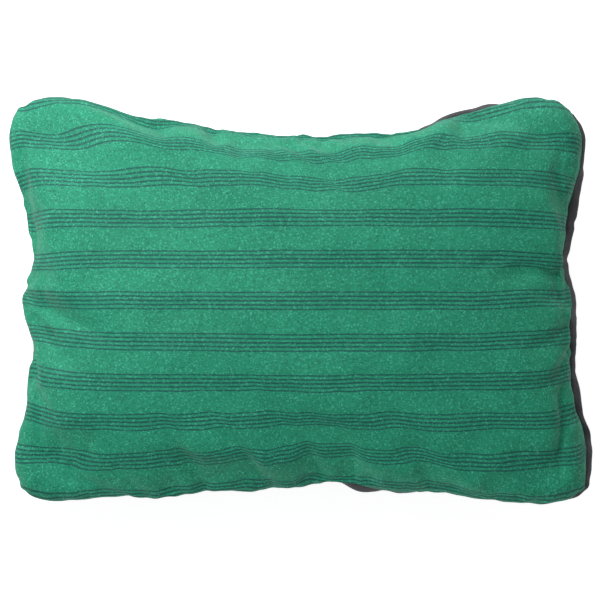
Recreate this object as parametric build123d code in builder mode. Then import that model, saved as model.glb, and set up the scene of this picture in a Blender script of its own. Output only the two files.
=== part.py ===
"""Camp pillow: a soft cover filled with shredded foam, with a fold-out stow flap and a drawcord on its underside.

Frame: millimetres. X runs along the long side, Y along the short side, Z through the thickness.
The origin is on the resting plane, under the centre of the pillow's bounding rectangle. The pillow
lies on its dark back panel and the green front panel faces up.
"""

import math
import os

from build123d import *

os.makedirs("parts", exist_ok=True)

# ---------------------------------------------------------------- shared dimensions
HEIGHT = 122.5  # loft of the filled pillow
FABRIC = 1.4  # wall that stands for the sewn cover fabric
FILL_GAP = 2.4  # from the cover's outer face to the foam
SEAM_Z = 62.0  # height of the perimeter seam

FLAP_X = 150.0  # half length of the stow flap
FLAP_Y0, FLAP_Y1 = -120.7, 72.0  # hinge edge and free edge
FLAP_Z0, FLAP_Z1 = 4.85, 6.45  # doubled flap fabric, against the pillow's underside
FLAP_CORNER = 30.0

CORD_R = 1.5
TUNNEL_R = 1.8
CORD_Y, CORD_Z = -148.0, 8.6  # straight run of the drawcord beside the flap's hinge edge

# Plan outline at the seam as (x, y), with ears at the corners.
OUTLINE = [
    (270.0, 50.0), (269.0, -20.0), (279.0, -90.0), (289.0, -150.0), (283.0, -188.0),
    (250.0, -203.0), (190.0, -199.0), (110.0, -190.0), (0.0, -184.5), (-100.0, -191.5),
    (-200.0, -198.0), (-262.0, -196.0), (-284.5, -160.0), (-272.0, -85.0), (-266.5, 0.0),
    (-271.0, 75.0), (-289.0, 155.0), (-283.0, 186.0), (-250.0, 202.5), (-180.0, 189.0),
    (-90.0, 171.0), (0.0, 163.0), (85.0, 167.0), (165.0, 184.0), (225.0, 203.0),
    (268.0, 190.0), (288.0, 155.0),
]
INSET_RADIUS = 170.0  # an inset of d shrinks the outline by d / INSET_RADIUS

# Cross-sections of the filled pillow: (height, size relative to the outline).
BACK_SECTIONS = [
    (0.0, 0.64), (8.0, 0.69), (16.0, 0.755), (26.0, 0.86), (38.0, 0.94), (50.0, 0.985),
    (SEAM_Z, 1.0),
]
FRONT_SECTIONS = [
    (SEAM_Z, 1.0), (74.0, 0.985), (86.0, 0.945), (97.0, 0.875), (107.0, 0.77), (115.0, 0.62),
    (120.0, 0.44), (HEIGHT, 0.25),
]


def sized(size):
    """The outline scaled by size."""
    return [(x * size, y * size) for x, y in OUTLINE]


def stack(sections):
    """Solid through the outline at each height and size."""
    with BuildPart() as body:
        for z, size in sections:
            with BuildSketch(Plane.XY.offset(z)):
                Polygon(*sized(size), align=None)
        loft(ruled=True)
    return body.part


def inside(sections, inset):
    """Cross-sections that lie inset from the cover's outer face. They run inset past the seam."""
    shift = -inset if sections[-1][0] > SEAM_Z else inset
    return [(z + shift, size - inset / INSET_RADIUS) for z, size in sections]


RECESS_DEPTH = 7.0  # depth that the folded flap presses into the underside
RECESS_MARGIN = 3.0  # room round the flap
RECESS_RUNOUT = 45.0  # how far the recess runs past the flap's hinge edge
RECESS_BELOW = 10.0  # cutter's reach below the resting plane


def recess(grow):
    """Space pressed into the underside by the folded flap, open towards -Y."""
    y0, y1 = FLAP_Y0 - RECESS_RUNOUT - grow, FLAP_Y1 + RECESS_MARGIN + grow
    with BuildPart() as space:
        with BuildSketch(Plane.XY.offset(-RECESS_BELOW)):
            with Locations((0, (y0 + y1) / 2)):
                Rectangle(2 * (FLAP_X + RECESS_MARGIN + grow), y1 - y0)
        extrude(amount=RECESS_BELOW + RECESS_DEPTH + grow)
    return space.part


# ---------------------------------------------------------------- the sewn cover and its filling
PANEL_GAP = 0.05  # each panel stops this far from the seam plane
SEAM_WIDTH = 9.0  # turned-in allowance
SEAM_THICK = 1.6
GROOVE_GAP = 0.5  # room in the foam above and below the seam binding
GROOVE_SIZE_GAP = 0.005  # the same room inwards, as a share of the outline
GROOVE_BLANK_X, GROOVE_BLANK_Y = 700.0, 520.0  # larger than the whole pillow

# green brushed fabric, everything above the seam
with BuildPart() as front_panel:
    add(stack([(SEAM_Z + PANEL_GAP, 1.0)] + FRONT_SECTIONS[1:]))
    add(stack(inside(FRONT_SECTIONS, FABRIC)), mode=Mode.SUBTRACT)
front_panel.part.label = "front_panel"

# charcoal woven fabric, everything below the seam, with the flap's recess in its underside
with BuildPart() as back_room:
    add(stack(inside(BACK_SECTIONS, FABRIC)))
    add(recess(FABRIC), mode=Mode.SUBTRACT)

with BuildPart() as back_panel:
    add(stack(BACK_SECTIONS[:-1] + [(SEAM_Z - PANEL_GAP, 1.0)]))
    add(recess(0.0), mode=Mode.SUBTRACT)
    add(back_room.part, mode=Mode.SUBTRACT)
back_panel.part.label = "back_panel"

# turned-in seam allowance and its binding tape, a flat ring inside the cover
ring_size = 1.0 - FILL_GAP / INSET_RADIUS
ring_hole = ring_size - SEAM_WIDTH / INSET_RADIUS
ring_z0 = SEAM_Z - SEAM_THICK / 2
with BuildPart() as seam_binding:
    with BuildSketch(Plane.XY.offset(ring_z0)):
        Polygon(*sized(ring_size), align=None)
        Polygon(*sized(ring_hole), align=None, mode=Mode.SUBTRACT)
    extrude(amount=SEAM_THICK)
seam_binding.part.label = "seam_binding"

# shredded foam as one bulk solid, grooved round the seam binding
foam_sections = (
    inside(BACK_SECTIONS, FILL_GAP)[:-1]
    + [(SEAM_Z, ring_size)]
    + inside(FRONT_SECTIONS, FILL_GAP)[1:]
)
with BuildPart() as foam_fill:
    add(stack(foam_sections))
    with BuildSketch(Plane.XY.offset(ring_z0 - GROOVE_GAP)):
        Rectangle(GROOVE_BLANK_X, GROOVE_BLANK_Y)
        Polygon(*sized(ring_hole - GROOVE_SIZE_GAP), align=None, mode=Mode.SUBTRACT)
    extrude(amount=SEAM_THICK + 2 * GROOVE_GAP, mode=Mode.SUBTRACT)
    add(recess(FILL_GAP), mode=Mode.SUBTRACT)
foam_fill.part.label = "foam_fill"

# ---------------------------------------------------------------- fixed pieces on the underside
CASING_X = 136.0  # half length
CASING_W, CASING_T = 11.0, 5.6
CASING_TILT = math.radians(30.0)  # lies along the cover's rising underside

WEB_THICK = 1.5
WEB_FLAP_Y, WEB_FLAP_Z = -122.6, 2.6  # lower edge beside the flap
WEB_CASING_Y, WEB_CASING_Z = -142.7, 4.6  # lower edge beside the casing

EYELET_BARREL_R = 2.4
EYELET_FLANGE_R, EYELET_FLANGE_T = 4.2, 1.1
EYELET_ROUND = 0.5
EYELET_BORE_R = 1.7
EYELET_GAP = 0.05
EYELET_SEAT = 4.0  # depth of the eyelet's seat in the +X end of the casing


def cord_section(x):
    """Plane square to the straight cord run, centred on the cord and facing +X."""
    return Plane(origin=(x, CORD_Y, CORD_Z), z_dir=(1, 0, 0))


# strip of flap fabric between the flap's hinge edge and the cord casing
with BuildPart() as flap_anchor_web:
    with BuildSketch(Plane.YZ.offset(-CASING_X)):
        with BuildLine():
            Polyline(
                (WEB_FLAP_Y, WEB_FLAP_Z),
                (WEB_FLAP_Y, WEB_FLAP_Z + WEB_THICK),
                (WEB_CASING_Y, WEB_CASING_Z + WEB_THICK),
                (WEB_CASING_Y, WEB_CASING_Z),
                (WEB_FLAP_Y, WEB_FLAP_Z),
            )
        make_face()
    extrude(amount=2 * CASING_X)
flap_anchor_web.part.label = "flap_anchor_web"

# straight fabric tunnel that carries the drawcord along the flap's hinge edge
casing_plane = Plane(
    origin=(-CASING_X, CORD_Y, CORD_Z),
    x_dir=(0, -math.cos(CASING_TILT), math.sin(CASING_TILT)),
    z_dir=(1, 0, 0),
)
exit_plane = cord_section(CASING_X - EYELET_SEAT)
with BuildPart() as cord_casing:
    with BuildSketch(casing_plane):
        SlotOverall(CASING_W, CASING_T)
    extrude(amount=2 * CASING_X)
    with BuildSketch(cord_section(-CASING_X)):
        Circle(TUNNEL_R)
    extrude(amount=2 * CASING_X, mode=Mode.SUBTRACT)
    with BuildSketch(exit_plane):
        Circle(EYELET_BARREL_R + EYELET_GAP)
    extrude(amount=EYELET_SEAT, mode=Mode.SUBTRACT)
cord_casing.part.label = "cord_casing"

# flanged eyelet where the cord leaves the casing; the bore's cutter runs a little past the flange
flange_start = EYELET_SEAT + 2 * EYELET_GAP
with BuildPart() as cord_eyelet:
    with BuildSketch(exit_plane.offset(EYELET_GAP)):
        Circle(EYELET_BARREL_R)
    extrude(amount=flange_start - EYELET_GAP)
    with BuildSketch(exit_plane.offset(flange_start)):
        Circle(EYELET_FLANGE_R)
    extrude(amount=EYELET_FLANGE_T)
    flange_rim = cord_eyelet.edges().filter_by(GeomType.CIRCLE).group_by(Axis.X)[-1]
    fillet(flange_rim, radius=EYELET_ROUND)
    with BuildSketch(exit_plane):
        Circle(EYELET_BORE_R)
    extrude(amount=flange_start + EYELET_FLANGE_T + 0.1, mode=Mode.SUBTRACT)
cord_eyelet.part.label = "cord_eyelet"

# ---------------------------------------------------------------- stow flap and its hem
HEM_WIDTH = 10.0
HEM_Z0, HEM_Z1 = 0.4, 4.8
HEM_IN = 6.0  # hem cord's distance from the flap's edges
HEM_RUNOUT = 80.0  # the hem's rounded rectangles run this far past its ends before the trim
HEM_TRIM_X, HEM_TRIM_Y = 400.0, 120.0
TUNNEL_RUNOUT = 2.0  # tunnel cutter's reach past the hem's ends
CORD_SETBACK = 0.5  # cord ends lie this far inside the hem's ends

BARTACK_LENGTH = 1.6  # along Y
BARTACK_GAP = 0.1  # from the hem's end
BARTACK_SIDE, BARTACK_FACE = 0.5, 0.2  # narrower and thinner than the hem on each side by this
BARTACK_CORNER = 0.6

hem_z = (HEM_Z0 + HEM_Z1) / 2
hem_height = HEM_Z1 - HEM_Z0
hem_x, hem_top, hem_end = FLAP_X - HEM_IN, FLAP_Y1 - HEM_IN, FLAP_Y0 + HEM_IN
hem_turn = FLAP_CORNER - HEM_IN

# fabric panel that folds out about its -Y edge
with BuildPart() as stow_flap:
    with BuildSketch(Plane.XY.offset(FLAP_Z0)):
        with Locations((0, (FLAP_Y0 + FLAP_Y1) / 2)):
            Rectangle(2 * FLAP_X, FLAP_Y1 - FLAP_Y0)
    extrude(amount=FLAP_Z1 - FLAP_Z0)
    fillet(stow_flap.edges().filter_by(Axis.Z).group_by(Axis.Y)[-1], radius=FLAP_CORNER)
stow_flap.part.label = "stow_flap"


def hem_round(start, radius):
    """Round cord or tunnel along the middle of the hem, with both ends at Y = start."""
    side_top, corner_x = hem_top - hem_turn, hem_x - hem_turn
    with BuildPart() as run:
        with BuildLine(Plane.XY.offset(hem_z)) as path:
            Line((-hem_x, start), (-hem_x, side_top))
            CenterArc((-corner_x, side_top), hem_turn, 180, -90)
            Line((-corner_x, hem_top), (corner_x, hem_top))
            CenterArc((corner_x, side_top), hem_turn, 90, -90)
            Line((hem_x, side_top), (hem_x, start))
        with BuildSketch(Plane(origin=(-hem_x, start, hem_z), z_dir=(0, 1, 0))):
            Circle(radius)
        sweep(path=path.wires()[0])
    return run.part


# flat U-shaped band round the flap's three free sides
with BuildPart() as hem_band:
    with BuildSketch(Plane.XY.offset(hem_z - hem_height / 2)):
        for grow, mode in ((HEM_WIDTH / 2, Mode.ADD), (-HEM_WIDTH / 2, Mode.SUBTRACT)):
            y0, y1 = hem_end - HEM_RUNOUT, hem_top + grow
            with Locations((0, (y0 + y1) / 2)):
                RectangleRounded(2 * (hem_x + grow), y1 - y0, hem_turn + grow, mode=mode)
        with Locations((0, hem_end - HEM_TRIM_Y / 2)):
            Rectangle(HEM_TRIM_X, HEM_TRIM_Y, mode=Mode.SUBTRACT)
    extrude(amount=hem_height)

# folded hem: the band with the cord's tunnel through it
with BuildPart() as flap_hem_casing:
    add(hem_band.part)
    add(hem_round(hem_end - TUNNEL_RUNOUT, TUNNEL_R), mode=Mode.SUBTRACT)
flap_hem_casing.part.label = "flap_hem_casing"

with BuildPart() as drawcord_hem_run:
    add(hem_round(hem_end + CORD_SETBACK, CORD_R))
drawcord_hem_run.part.label = "drawcord_hem_run"

# dense stitching that closes the two hem ends over the cord
bartack_y = hem_end - BARTACK_GAP - BARTACK_LENGTH / 2
with BuildPart() as hem_bartacks:
    with BuildSketch(Plane.XY.offset(HEM_Z0 + BARTACK_FACE)):
        with Locations((-hem_x, bartack_y), (hem_x, bartack_y)):
            RectangleRounded(HEM_WIDTH - 2 * BARTACK_SIDE, BARTACK_LENGTH, BARTACK_CORNER)
    extrude(amount=hem_height - 2 * BARTACK_FACE)
hem_bartacks.part.label = "hem_bartacks"

# ---------------------------------------------------------------- sliding drawcord tail and its moulded end
TAIL_X0, TAIL_X1 = 30.0, 268.0
STOP_MOUTH_X, STOP_MOUTH_R = 260.0, 2.6
STOP_BORE_R = CORD_R + 0.05
STOP_BORE_END = TAIL_X1 + 0.2
# Outer profile of the end stop from the mouth's bevel to the tip: (x, radius).
STOP_PROFILE = [(262.0, 3.1), (268.0, 3.9), (273.0, 4.6), (276.0, 3.6), (277.0, 0.0)]

with BuildPart() as drawcord_tail:
    with BuildSketch(cord_section(TAIL_X0)):
        Circle(CORD_R)
    extrude(amount=TAIL_X1 - TAIL_X0)
drawcord_tail.part.label = "drawcord_tail"

stop_plane = Plane(origin=(0, CORD_Y, CORD_Z), x_dir=(1, 0, 0), z_dir=(0, -1, 0))
with BuildPart() as cord_end_stop:
    with BuildSketch(stop_plane):
        with BuildLine():
            Polyline(
                STOP_PROFILE[-1],
                (STOP_BORE_END, 0.0),
                (STOP_BORE_END, STOP_BORE_R),
                (STOP_MOUTH_X, STOP_BORE_R),
                (STOP_MOUTH_X, STOP_MOUTH_R),
                STOP_PROFILE[0],
            )
            Spline(*STOP_PROFILE)
        make_face()
    revolve(axis=Axis((0, CORD_Y, CORD_Z), (1, 0, 0)))
cord_end_stop.part.label = "cord_end_stop"

# ---------------------------------------------------------------- spring cord lock on the tail, opening towards -Y
LOCK_X = 250.0
LOCK_R = 6.5
LOCK_WALL = 1.3
LOCK_BORE_R = 4.7
LOCK_BACK_Y, LOCK_MOUTH_Y = CORD_Y + 10.5, CORD_Y - 7.5
LOCK_BACK_ROUND, LOCK_MOUTH_ROUND = 1.6, 0.6
LOCK_CORD_HOLE_R = 2.1
LOCK_CUT = 24.0  # length along X of the cutters for the cord's way through

PLUNGER_R = 4.5
CAP_R = 5.6
CAP_ROUND = 1.4
PLUNGER_BACK_Y, CAP_Y, CAP_TOP_Y = CORD_Y + 3.5, CORD_Y - 11.0, CORD_Y - 14.6
PRESS = 3.0  # plunger travel
SLOT_WIDTH = 3.5
SLOT_BACK_GAP, SLOT_MOUTH_GAP = 0.1, 0.3

SPRING_R, SPRING_WIRE_R = 3.2, 0.3
SPRING_TURNS = 3.0
SPRING_GAP = 0.4  # from each end of the coil's centreline to its seat


def lock_plane(y):
    """Plane square to the lock's axis, facing its mouth."""
    return Plane(origin=(LOCK_X, y, CORD_Z), x_dir=(1, 0, 0), z_dir=(0, -1, 0))


def through_plane(y):
    """Plane on the lock's -X side, facing +X, for cuts along the cord."""
    origin = (LOCK_X - LOCK_CUT / 2, y, CORD_Z)
    return Plane(origin=origin, x_dir=(0, 1, 0), z_dir=(1, 0, 0))


barrel_length = LOCK_BACK_Y - LOCK_MOUTH_Y
with BuildPart() as cord_lock_barrel:
    with BuildSketch(lock_plane(LOCK_BACK_Y)):
        Circle(LOCK_R)
    extrude(amount=barrel_length)
    for end, radius in ((-1, LOCK_BACK_ROUND), (0, LOCK_MOUTH_ROUND)):
        rim = cord_lock_barrel.edges().filter_by(GeomType.CIRCLE).group_by(Axis.Y)[end]
        fillet(rim, radius=radius)
    with BuildSketch(lock_plane(LOCK_BACK_Y).offset(LOCK_WALL)):
        Circle(LOCK_BORE_R)
    extrude(amount=barrel_length, mode=Mode.SUBTRACT)
    with BuildSketch(through_plane(CORD_Y)):
        Circle(LOCK_CORD_HOLE_R)
    extrude(amount=LOCK_CUT, mode=Mode.SUBTRACT)
cord_lock_barrel.part.label = "cord_lock_barrel"

# capped plunger, slotted so that it can travel over the cord
slot_back = CORD_Y + CORD_R + SLOT_BACK_GAP
slot_mouth = CORD_Y - CORD_R - PRESS - SLOT_MOUTH_GAP
with BuildPart() as cord_lock_plunger:
    with BuildSketch(lock_plane(PLUNGER_BACK_Y)):
        Circle(PLUNGER_R)
    extrude(amount=PLUNGER_BACK_Y - CAP_Y)
    with BuildSketch(lock_plane(CAP_Y)):
        Circle(CAP_R)
    extrude(amount=CAP_Y - CAP_TOP_Y)
    cap_rim = cord_lock_plunger.edges().filter_by(GeomType.CIRCLE).group_by(Axis.Y)[0]
    fillet(cap_rim, radius=CAP_ROUND)
    with BuildSketch(through_plane((slot_back + slot_mouth) / 2)):
        SlotOverall(slot_back - slot_mouth, SLOT_WIDTH)
    extrude(amount=LOCK_CUT, mode=Mode.SUBTRACT)
cord_lock_plunger.part.label = "cord_lock_plunger"

# compression spring behind the plunger
spring_start = LOCK_BACK_Y - LOCK_WALL - SPRING_GAP
spring_length = spring_start - (PLUNGER_BACK_Y + SPRING_GAP)
with BuildPart() as cord_lock_spring:
    with BuildLine() as coil:
        Helix(
            pitch=spring_length / SPRING_TURNS,
            height=spring_length,
            radius=SPRING_R,
            center=(LOCK_X, spring_start, CORD_Z),
            direction=(0, -1, 0),
        )
    with BuildSketch(Plane(origin=coil.line @ 0, z_dir=coil.line % 0)):
        Circle(SPRING_WIRE_R)
    sweep(path=coil.line, is_frenet=True)
cord_lock_spring.part.label = "cord_lock_spring"

# ---------------------------------------------------------------- export
PIECES = (
    front_panel, back_panel, seam_binding, foam_fill, flap_anchor_web, cord_casing, cord_eyelet,
    stow_flap, flap_hem_casing, drawcord_hem_run, hem_bartacks, drawcord_tail, cord_end_stop,
    cord_lock_barrel, cord_lock_plunger, cord_lock_spring,
)
for piece in PIECES:
    export_step(piece.part, "parts/" + piece.part.label + ".step")
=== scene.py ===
import math

import bmesh
import bpy
import numpy as np
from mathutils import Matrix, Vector


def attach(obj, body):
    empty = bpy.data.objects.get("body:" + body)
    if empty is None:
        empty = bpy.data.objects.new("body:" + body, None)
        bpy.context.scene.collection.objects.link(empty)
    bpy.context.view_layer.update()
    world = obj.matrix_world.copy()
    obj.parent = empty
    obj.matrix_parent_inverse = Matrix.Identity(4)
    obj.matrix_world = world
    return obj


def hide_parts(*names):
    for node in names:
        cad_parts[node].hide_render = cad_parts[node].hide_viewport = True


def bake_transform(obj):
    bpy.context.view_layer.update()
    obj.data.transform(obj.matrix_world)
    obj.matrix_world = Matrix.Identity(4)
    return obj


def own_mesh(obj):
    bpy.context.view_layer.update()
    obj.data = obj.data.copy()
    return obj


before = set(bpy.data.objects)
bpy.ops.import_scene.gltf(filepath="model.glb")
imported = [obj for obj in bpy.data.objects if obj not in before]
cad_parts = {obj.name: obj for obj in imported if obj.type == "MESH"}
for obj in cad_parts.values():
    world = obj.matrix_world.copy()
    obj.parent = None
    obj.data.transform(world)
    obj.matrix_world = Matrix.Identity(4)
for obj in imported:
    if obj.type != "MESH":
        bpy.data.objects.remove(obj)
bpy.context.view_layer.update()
scene = bpy.context.scene

CELLS_X, CELLS_Y = ((120, 85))
GRID = (CELLS_X + 1, CELLS_Y + 1)
FRAMES = 24
FOAM_MARGIN = 4  # grid rows left out of the foam along the seam

PATTERN_X, PATTERN_Y = 299.0, 211.0  # half sizes of the flat cut panels
SEAM_Z = 61.0
SEAM_RISE, RISE_RUN = 13.0, 290  # the seam plane climbs towards +X by this much over this run
LOFT, LOFT_FROM = 122.0, 100  # top of the pillow, and the height above which it is scaled to fit
OUTLINE_Z = 62.0
EYE_Z = OUTLINE_Z + 1650.0  # the camera's height, for which the REACH outline is given

CORD_Y, CORD_Z, CORD_RADIUS = -148.0, 8.6, 1.5
BRAID_TWIST, BRAID_STRANDS = 2.9, 8  # radians per mm of cord; strands each way round
BRAID_UV_TURN = 10.0  # fabric UV length of one turn round the cord

# The sewn seam seen from above, one table of (x, y) for each side of the pillow.
SEAM_POS_Y = [
    (-281, 193), (-247, 202), (-202, 194), (-172, 185), (-143, 181), (-113, 174), (-84, 169),
    (-54, 166), (-24, 164), (5, 163), (35, 162), (65, 165), (95, 166), (125, 169), (154, 181),
    (184, 187), (214, 202), (244, 202), (270, 189)]
SEAM_NEG_Y = [
    (-277, -187), (-247, -200), (-218, -197), (-187, -196), (-158, -195), (-128, -195),
    (-99, -189), (-69, -189), (-39, -189), (-9, -184), (20, -180), (50, -181), (80, -187),
    (110, -189), (140, -189), (170, -193), (199, -200), (229, -203), (258, -201), (280, -186)]
SEAM_NEG_X = [
    (-277, -187), (-284, -163), (-283, -144), (-275, -124), (-271, -104), (-270, -84),
    (-266, -64), (-264, -45), (-270, -25), (-275, -5), (-271, 15), (-263, 35), (-265, 54),
    (-270, 74), (-273, 94), (-279, 114), (-285, 134), (-288, 153), (-289, 173), (-281, 193)]
SEAM_POS_X = [
    (280, -186), (283, -168), (283, -148), (278, -129), (271, -109), (269, -89), (267, -69),
    (267, -49), (267, -30), (268, -10), (263, 10), (259, 30), (260, 49), (264, 69), (265, 89),
    (272, 109), (277, 129), (280, 148), (278, 168), (270, 189)]
# Reach of the front from the middle, every 3 degrees anticlockwise from +X.
REACH = [
    269, 265, 262, 263, 266, 273, 278, 289, 302, 314, 323, 327, 326, 318, 302, 273, 249, 232, 209,
    198, 190, 183, 181, 176, 173, 169, 167, 163, 161, 163, 164, 163, 163, 165, 168, 171, 174, 179,
    184, 191, 199, 209, 221, 230, 243, 272, 300, 322, 333, 338, 333, 323, 310, 295, 286, 278, 271,
    265, 267, 272, 275, 273, 270, 266, 270, 277, 284, 290, 301, 316, 327, 332, 331, 318, 296, 278,
    262, 252, 243, 232, 223, 213, 207, 202, 199, 197, 194, 188, 187, 186, 185, 183, 182, 182, 184,
    187, 193, 198, 205, 212, 219, 226, 234, 247, 265, 283, 302, 322, 333, 338, 328, 319, 307, 290,
    284, 277, 273, 271, 269, 269]
# How far the back shows past the front, by index in REACH; elsewhere it is hidden.
BACK_SHOWS = {
    0: 4, 1: 6, 2: 5, 3: 6, 4: 9, 5: 10, 6: 12, 7: 8, 8: 7, 9: 3, 10: 5, 11: 2, 15: 7, 16: 6,
    17: 6, 18: 4, 95: 7, 96: 8, 97: 6, 98: 2, 99: 3, 100: 2, 103: 3, 108: 4, 109: 4, 110: 6,
    111: 7, 112: 8, 113: 9, 114: 9, 115: 5, 116: 6, 117: 7, 118: 7, 119: 5}
# The CAD outline seen from above: (x, y).
CAD_OUTLINE = np.array([
    (270.0, 50.0), (269.0, -20.0), (279.0, -90.0), (289.0, -150.0), (283.0, -188.0),
    (250.0, -203.0), (190.0, -199.0), (110.0, -190.0), (0.0, -184.5), (-100.0, -191.5),
    (-200.0, -198.0), (-262.0, -196.0), (-284.5, -160.0), (-272.0, -85.0), (-266.5, 0.0),
    (-271.0, 75.0), (-289.0, 155.0), (-283.0, 186.0), (-250.0, 202.5), (-180.0, 189.0),
    (-90.0, 171.0), (0.0, 163.0), (85.0, 167.0), (165.0, 184.0), (225.0, 203.0), (268.0, 190.0),
    (288.0, 155.0)])
# Short folds the seam pulls into the front: start, end, width, depth.
FOLDS = [
    ((-266, -76), (-268, -122), 4.5, 3.2), ((-246, -84), (-232, -99), 5.0, 1.6),
    ((-203, -142), (-199, -170), 5.0, 1.5), ((-225, -128), (-238, -150), 6.0, 1.4),
    ((-268, 62), (-250, 56), 5.0, 1.5), ((-271, -22), (-250, -12), 5.0, 1.8),
    ((-150, 176), (-134, 158), 6.0, 2.0), ((-112, 168), (-104, 150), 5.5, 1.4),
    ((-10, 160), (2, 144), 5.0, 1.6), ((52, 161), (60, 146), 5.0, 1.5),
    ((92, 164), (104, 147), 5.5, 2.2), ((122, 166), (134, 146), 5.5, 2.0),
    ((262, 92), (246, 84), 5.0, 1.8), ((258, 18), (240, 24), 5.0, 1.8),
    ((266, -52), (248, -46), 5.0, 1.6), ((268, -112), (250, -104), 5.5, 1.8),
    ((150, -186), (178, -196), 6.0, 2.2), ((96, -184), (88, -166), 5.0, 1.6),
    ((48, -178), (42, -160), 5.0, 1.6), ((-62, -186), (-56, -170), 5.0, 1.5),
    ((-130, -192), (-124, -176), 5.0, 1.4)]


# ------------------------------------------------------------------ number helpers
def ease(t):
    """Smooth step from 0 to 1."""
    t = np.clip(t, 0.0, 1.0)
    return t * t * (3 - 2 * t)


def bell(distance, width):
    return np.exp(-(distance / width) ** 2)


def smooth_max(a, b, blend):
    return 0.5 * (a + b + np.sqrt((a - b) ** 2 + blend * blend))


def field(seed, x, y, wave, count=22):
    """Smooth random field of unit spread with features about one wavelength wide."""
    rng = np.random.default_rng(seed)
    total = np.zeros(np.broadcast(x, y).shape)
    for _ in range(count):
        angle = rng.uniform(0, 2 * math.pi)
        length = wave * rng.uniform(0.75, 1.4)
        phase = rng.uniform(0, 2 * math.pi)
        total += np.cos(2 * math.pi / length * (math.cos(angle) * x + math.sin(angle) * y) + phase)
    return total / math.sqrt(count / 2)


def resample(points, count):
    """Softens a line of points and spaces them evenly."""
    line = np.array(points, float)
    line[1:-1] = 0.25 * line[:-2] + 0.5 * line[1:-1] + 0.25 * line[2:]
    arc = np.r_[0, np.cumsum(np.hypot(*np.diff(line, axis=0).T))]
    even = np.linspace(0, arc[-1], count)
    return np.c_[np.interp(even, arc, line[:, 0]), np.interp(even, arc, line[:, 1])]


def arc_length(path):
    return np.r_[0, np.cumsum(np.linalg.norm(np.diff(path, axis=0), axis=1))]


def interp_points(at, known, points):
    return np.stack([np.interp(at, known, points[:, k]) for k in range(3)], -1)


def turn(count):
    """Angles evenly round a circle."""
    return np.linspace(0, 2 * math.pi, count, endpoint=False)


def ring(radius, angles):
    return np.c_[radius * np.cos(angles), radius * np.sin(angles)]


def unit(vectors):
    return vectors / np.linalg.norm(vectors, axis=1)[:, None]


# ------------------------------------------------------------------ mesh helpers
def make_object(name, verts_mm, faces, uv=None, smooth=True):
    """Object from vertices in mm. uv is one pair per vertex, in mm of fabric."""
    mesh = bpy.data.meshes.new(name)
    faces = [tuple(int(i) for i in face) for face in faces]
    mesh.from_pydata((np.asarray(verts_mm, float) / 1000.0).tolist(), [], faces)
    mesh.update()
    if smooth:
        mesh.polygons.foreach_set("use_smooth", np.ones(len(mesh.polygons), bool))
    if uv is not None:
        layer = mesh.uv_layers.new(name="fabric")
        corner = np.zeros(len(mesh.loops), np.int32)
        mesh.loops.foreach_get("vertex_index", corner)
        pairs = (np.asarray(uv, float)[corner] / 1000.0).astype(np.float32)
        layer.data.foreach_set("uv", pairs.ravel())
    ob = bpy.data.objects.new(name, mesh)
    scene.collection.objects.link(ob)
    return ob


def make_closed(*args):
    """A closed object with its face normals pointing outwards."""
    ob = make_object(*args)
    work = bmesh.new()
    work.from_mesh(ob.data)
    bmesh.ops.recalc_face_normals(work, faces=work.faces)
    work.to_mesh(ob.data)
    work.free()
    return ob


def apply_modifiers(ob):
    graph = bpy.context.evaluated_depsgraph_get()
    mesh = bpy.data.meshes.new_from_object(
        ob.evaluated_get(graph), preserve_all_data_layers=True, depsgraph=graph)
    ob.modifiers.clear()
    old = ob.data
    ob.data = mesh
    mesh.name = ob.name
    bpy.data.meshes.remove(old)
    mesh.polygons.foreach_set("use_smooth", np.ones(len(mesh.polygons), bool))


def add_thickness(ob, thickness, offset):
    """Gives a sheet of fabric its thickness, in metres."""
    fabric = ob.modifiers.new("fabric", "SOLIDIFY")
    fabric.thickness, fabric.offset = thickness, offset


def grid_faces(rows, cols, flip=False, wrap=False, base=0):
    """Quads of a grid of vertices, the second index running fastest."""
    i, j = np.meshgrid(np.arange(rows - 1), np.arange(cols if wrap else cols - 1), indexing="ij")
    k = (j + 1) % cols
    corners = [i * cols + j, (i + 1) * cols + j, (i + 1) * cols + k, i * cols + k]
    faces = np.stack(corners, -1).reshape(-1, 4)
    return (faces[:, ::-1] if flip else faces) + base


def grid_ring(grid, inset=0):
    """The ring of grid entries some steps in from the border, in order."""
    part = grid[inset:grid.shape[0] - inset, inset:grid.shape[1] - inset]
    return np.concatenate([part[:-1, 0], part[-1, :-1], part[:0:-1, -1], part[0, :0:-1]])


def path_frames(path):
    """Side vectors of a level path, and +Z as the other direction."""
    up = np.tile([0.0, 0.0, 1.0], (len(path), 1))
    return unit(np.cross(up, unit(np.gradient(path, axis=0)))), up


def tube(centres, sides, ups, profiles):
    """Vertices and faces of a capped tube. Each profile is (side, up) offsets at one station."""
    rings = [centre + profile[:, :1] * side + profile[:, 1:] * up
             for centre, side, up, profile in zip(centres, sides, ups, profiles)]
    around = len(rings[0])
    faces = list(grid_faces(len(rings), around, wrap=True))
    count = len(rings) * around
    last = count - around
    for j in range(around):
        k = (j + 1) % around
        faces += [(count, j, k), (count + 1, last + k, last + j)]
    return np.concatenate(rings + [[rings[0].mean(0)], [rings[-1].mean(0)]]), faces


def join(parts):
    """Several (vertices, faces) as one."""
    faces, base = [], 0
    for verts, part_faces in parts:
        faces += [tuple(i + base for i in face) for face in part_faces]
        base += len(verts)
    return np.concatenate([verts for verts, _ in parts]), faces


def strip_uv(along, across):
    return np.stack([np.repeat(along, len(across)), np.tile(across, len(along))], -1)


def tube_uv(along, across):
    return np.r_[strip_uv(along, across), [[0, 0], [0, 0]]]


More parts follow.
